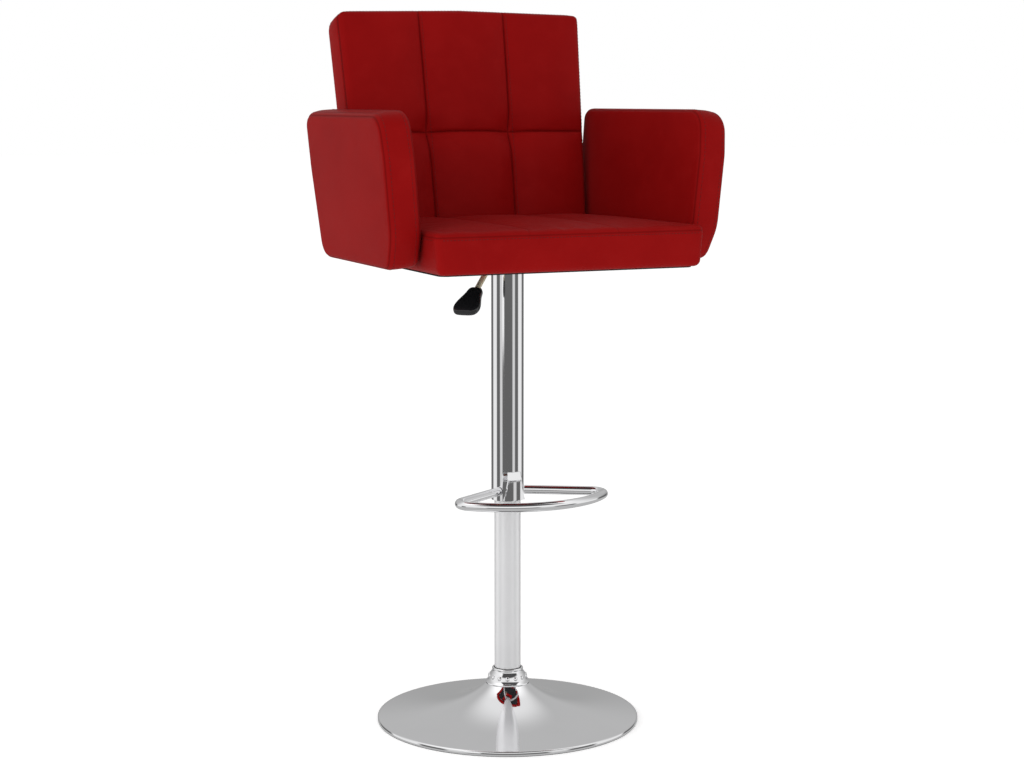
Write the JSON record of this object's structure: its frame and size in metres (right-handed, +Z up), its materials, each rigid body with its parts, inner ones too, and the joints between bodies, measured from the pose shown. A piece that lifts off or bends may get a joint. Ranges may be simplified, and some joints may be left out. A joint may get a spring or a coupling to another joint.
{
  "type": "bar stool",
  "caption": "Swivel bar stool with tufted back, padded arms, gas-lift column, lift lever, ring footrest and trumpet base.",
  "frame": {"origin": "on the floor under the swivel axis, at the centre of the base, which is also the bottom centre of the whole stool's box to within 3 mm", "axes": "+Z up along the column; -Y the way the sitter faces; +X the sitter's left"},
  "size_m": [0.5298, 0.4177, 1.039],
  "materials": {
    "red_leather": "smooth semi-gloss faux leather",
    "chrome": "polished",
    "satin_chrome": "satin chrome, fine turned lines",
    "plated_steel": "zinc plated",
    "yellow_zinc": "yellow zinc plated",
    "black_metal": "black powder coat",
    "cast_iron": "matte",
    "brass": "turned",
    "rubber": "matte",
    "nylon": "matte black nylon",
    "black_plastic": "gloss",
    "plywood": "raw plywood",
    "black_lining": "non-woven dust cover"
  },
  "bodies": {
    "base": {"base_shell": "chrome", "weight_plate": "cast_iron", "floor_ring": "rubber", "lower_column": "satin_chrome", "column_foot": "plated_steel", "foot_bolt_1": "plated_steel", "foot_bolt_2": "plated_steel", "foot_bolt_3": "plated_steel", "collar": "chrome", "collar_seal": "rubber", "column_bush": "nylon", "bearing_lower_race": "plated_steel"},
    "ball_cage": {"ball_cage": "brass"},
    "spindle": {"piston_rod": "chrome", "rod_clip": "plated_steel", "bearing_upper_race": "plated_steel", "piston_head": "nylon"},
    "lever": {"lever_rod": "yellow_zinc", "lever_paddle": "black_plastic"},
    "valve": {"valve_pin": "brass"},
    "upper": {"gas_cylinder": "black_metal", "rod_gland": "nylon", "cover_tube": "chrome", "cover_bush": "nylon", "footrest_ring": "chrome", "footrest_saddle": "chrome", "taper_socket": "plated_steel", "mechanism_plate": "black_metal", "mechanism_cup": "black_metal", "pivot_bracket": "plated_steel", "lever_pin": "plated_steel", "plate_screw_1": "plated_steel", "plate_screw_2": "plated_steel", "plate_screw_3": "plated_steel", "plate_screw_4": "plated_steel", "seat_board": "plywood", "seat_cushion": "red_leather", "underside_sheet": "black_lining", "back_board": "plywood", "back_cushion": "red_leather", "back_strap_left": "plated_steel", "back_strap_right": "plated_steel", "back_strap_screw_left": "plated_steel", "back_strap_screw_right": "plated_steel", "left_arm_board": "plywood", "left_arm_cushion": "red_leather", "left_arm_strap_1": "plated_steel", "left_arm_strap_2": "plated_steel", "left_arm_strap_screw_1": "plated_steel", "left_arm_strap_screw_2": "plated_steel", "right_arm_board": "plywood", "right_arm_cushion": "red_leather", "right_arm_strap_1": "plated_steel", "right_arm_strap_2": "plated_steel", "right_arm_strap_screw_1": "plated_steel", "right_arm_strap_screw_2": "plated_steel"}
  },
  "joints": [
    {"name": "seat_swivel", "type": "hinge", "parent": "base", "child": "spindle", "pos_m": [0, 0, 0], "axis": [0, 0, 1], "continuous": true},
    {"name": "ball_cage_roll", "type": "hinge", "parent": "base", "child": "ball_cage", "pos_m": [0, 0, 0], "axis": [0, 0, 1], "continuous": true},
    {"name": "seat_height", "type": "slide", "parent": "spindle", "child": "upper", "axis": [0, 0, 1], "range_m": [-0.21, 0]},
    {"name": "lever_lift", "type": "hinge", "parent": "upper", "child": "lever", "pos_m": [-0.01902, -0.01773, 0.686], "axis": [-0.682, 0.7314, 0], "range_deg": [0, 6.5], "stiffness_Nm_per_rad": 1, "springref_deg": -5.73},
    {"name": "valve_press", "type": "slide", "parent": "upper", "child": "valve", "axis": [0, 0, 1], "range_m": [-0.003, 0]}
  ],
  "couplings": [
    {"joint": "ball_cage_roll", "follows": "seat_swivel", "ratio": 0.5},
    {"joint": "valve_press", "follows": "lever_lift", "m_per_rad": -0.026}
  ]
}
